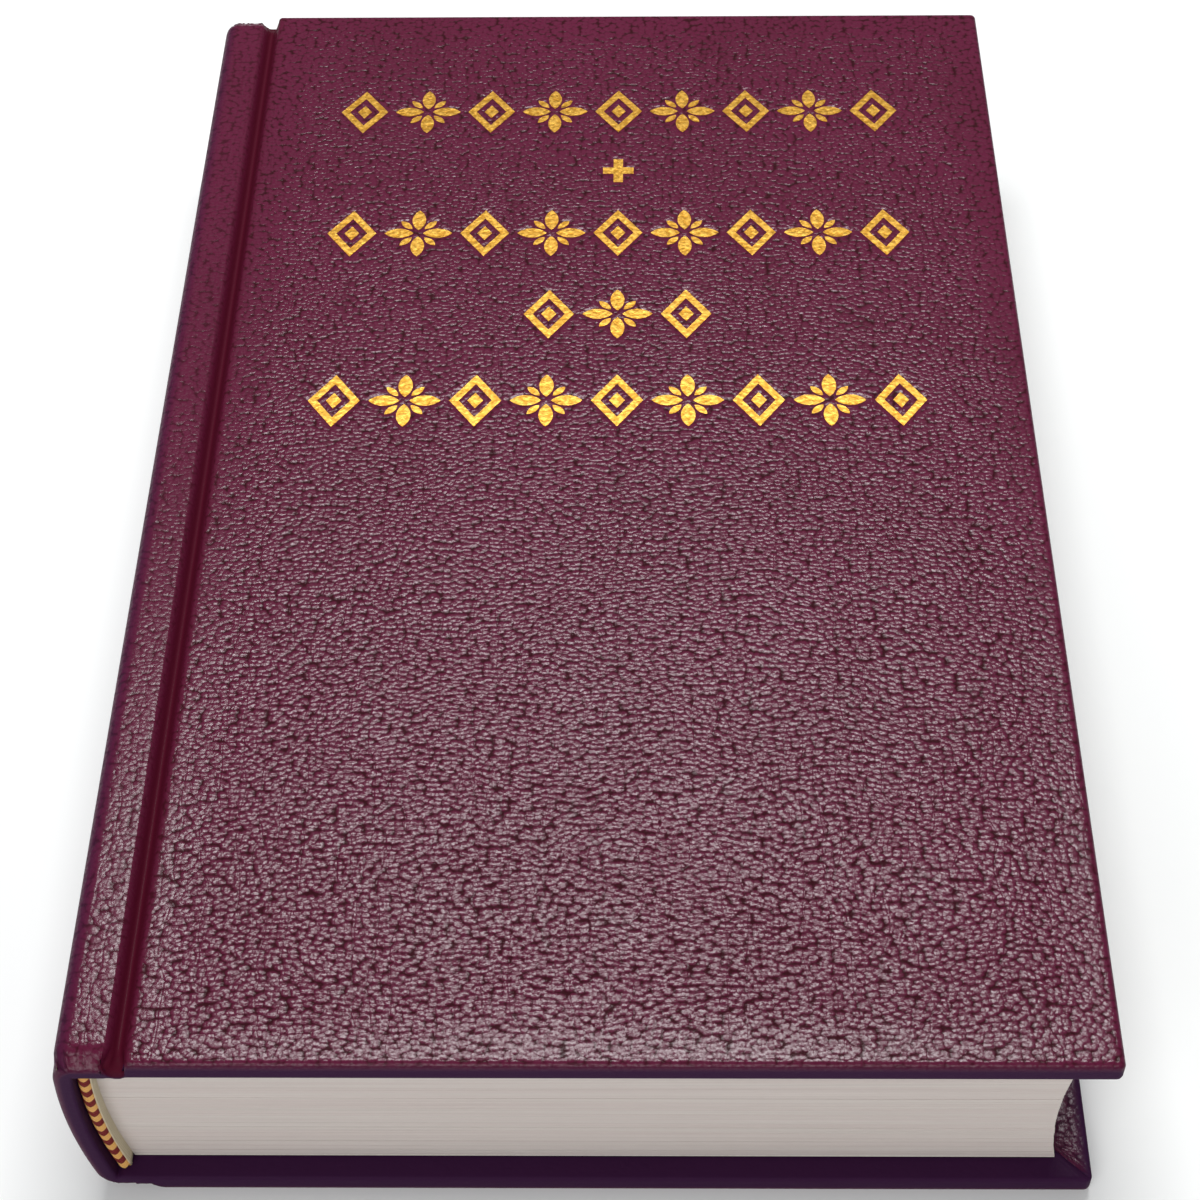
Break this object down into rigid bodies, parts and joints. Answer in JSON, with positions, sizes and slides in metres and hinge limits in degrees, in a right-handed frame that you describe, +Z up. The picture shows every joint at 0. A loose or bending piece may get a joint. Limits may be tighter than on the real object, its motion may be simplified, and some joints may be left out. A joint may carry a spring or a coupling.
{
  "type": "hardback prayer book",
  "caption": "Leather-bound hardback prayer book lying closed, with opening covers, turning leaves, rounded spine, grooved joints, headbands and gilt front.",
  "frame": {"origin": "middle of the closed book's footprint, on the surface that its back cover lies on", "axes": "+X from the spine to the fore-edge, +Y from the tail to the head, +Z up through the pages to the front cover"},
  "size_m": [0.1269, 0.2, 0.0316],
  "materials": {
    "board": "grey pulp board",
    "leather": "burgundy, pebbled, semi-matte",
    "paper": "smooth cut edges, warm white",
    "endpaper": "plain white endpaper",
    "mull": "open cotton gauze, glued",
    "kraft": "brown kraft paper",
    "headband": "red and gold silk thread over a cord",
    "thread": "waxed linen thread",
    "gold": "gold foil, slightly grained"
  },
  "bodies": {
    "text_block": {"section_06": "paper", "section_07": "paper", "section_08": "paper", "section_09": "paper", "section_10": "paper", "section_11": "paper", "section_12": "paper", "section_13": "paper", "section_14": "paper", "section_15": "paper", "section_16": "paper", "section_17": "paper", "sewn_gutter_front": "paper", "sewn_gutter_back": "paper", "spine_leather": "leather", "spine_turn_ins": "leather", "spine_inlay": "board", "spine_mull": "mull", "kraft_lining": "kraft", "headband_head": "headband", "headband_tail": "headband", "sewing_thread": "thread"},
    "front_cover": {"front_board": "board", "front_leather": "leather", "front_pastedown": "endpaper", "front_mull_flap": "mull", "front_joint_leather": "leather", "front_gilding": "gold"},
    "back_cover": {"back_board": "board", "back_leather": "leather", "back_pastedown": "endpaper", "back_mull_flap": "mull", "back_joint_leather": "leather"},
    "front_flyleaf": {"front_flyleaf": "endpaper"},
    "back_flyleaf": {"back_flyleaf": "endpaper"},
    "section_01": {"section_01": "paper"},
    "section_02": {"section_02": "paper"},
    "section_03": {"section_03": "paper"},
    "section_04": {"section_04": "paper"},
    "section_05": {"section_05": "paper"},
    "section_18": {"section_18": "paper"},
    "section_19": {"section_19": "paper"},
    "section_20": {"section_20": "paper"}
  },
  "joints": [
    {"name": "front_cover_hinge", "type": "hinge", "parent": "text_block", "child": "front_cover", "pos_m": [-0.05515, 0, 0.0318], "axis": [0, -1, 0], "range_deg": [0, 178], "deforming": ["front_joint_leather"]},
    {"name": "back_cover_hinge", "type": "hinge", "parent": "text_block", "child": "back_cover", "pos_m": [-0.05515, 0, -0.0002], "axis": [0, 1, 0], "range_deg": [0, 178], "deforming": ["back_joint_leather"]},
    {"name": "front_flyleaf_turn", "type": "hinge", "parent": "text_block", "child": "front_flyleaf", "pos_m": [-0.05515, 0, 0.0318], "axis": [0, -1, 0], "range_deg": [0, 167.82]},
    {"name": "section_01_turn", "type": "hinge", "parent": "text_block", "child": "section_01", "pos_m": [-0.05515, 0, 0.0318], "axis": [0, -1, 0], "range_deg": [0, 165.15]},
    {"name": "section_02_turn", "type": "hinge", "parent": "text_block", "child": "section_02", "pos_m": [-0.05515, 0, 0.0318], "axis": [0, -1, 0], "range_deg": [0, 162.48]},
    {"name": "section_03_turn", "type": "hinge", "parent": "text_block", "child": "section_03", "pos_m": [-0.05515, 0, 0.0318], "axis": [0, -1, 0], "range_deg": [0, 159.81]},
    {"name": "section_04_turn", "type": "hinge", "parent": "text_block", "child": "section_04", "pos_m": [-0.05515, 0, 0.0318], "axis": [0, -1, 0], "range_deg": [0, 157.14]},
    {"name": "section_05_turn", "type": "hinge", "parent": "text_block", "child": "section_05", "pos_m": [-0.05515, 0, 0.0318], "axis": [0, -1, 0], "range_deg": [0, 154.47]},
    {"name": "back_flyleaf_turn", "type": "hinge", "parent": "text_block", "child": "back_flyleaf", "pos_m": [-0.05515, 0, -0.0002], "axis": [0, 1, 0], "range_deg": [0, 167.82]},
    {"name": "section_20_turn", "type": "hinge", "parent": "text_block", "child": "section_20", "pos_m": [-0.05515, 0, -0.0002], "axis": [0, 1, 0], "range_deg": [0, 165.15]},
    {"name": "section_19_turn", "type": "hinge", "parent": "text_block", "child": "section_19", "pos_m": [-0.05515, 0, -0.0002], "axis": [0, 1, 0], "range_deg": [0, 162.48]},
    {"name": "section_18_turn", "type": "hinge", "parent": "text_block", "child": "section_18", "pos_m": [-0.05515, 0, -0.0002], "axis": [0, 1, 0], "range_deg": [0, 159.81]}
  ],
  "couplings": [
    {"joint": "front_flyleaf_turn", "follows": "front_cover_hinge", "ratio": 0.94},
    {"joint": "section_01_turn", "follows": "front_cover_hinge", "ratio": 0.925},
    {"joint": "section_02_turn", "follows": "front_cover_hinge", "ratio": 0.91},
    {"joint": "section_03_turn", "follows": "front_cover_hinge", "ratio": 0.895},
    {"joint": "section_04_turn", "follows": "front_cover_hinge", "ratio": 0.88},
    {"joint": "section_05_turn", "follows": "front_cover_hinge", "ratio": 0.865},
    {"joint": "back_flyleaf_turn", "follows": "back_cover_hinge", "ratio": 0.94},
    {"joint": "section_20_turn", "follows": "back_cover_hinge", "ratio": 0.925},
    {"joint": "section_19_turn", "follows": "back_cover_hinge", "ratio": 0.91},
    {"joint": "section_18_turn", "follows": "back_cover_hinge", "ratio": 0.895}
  ]
}
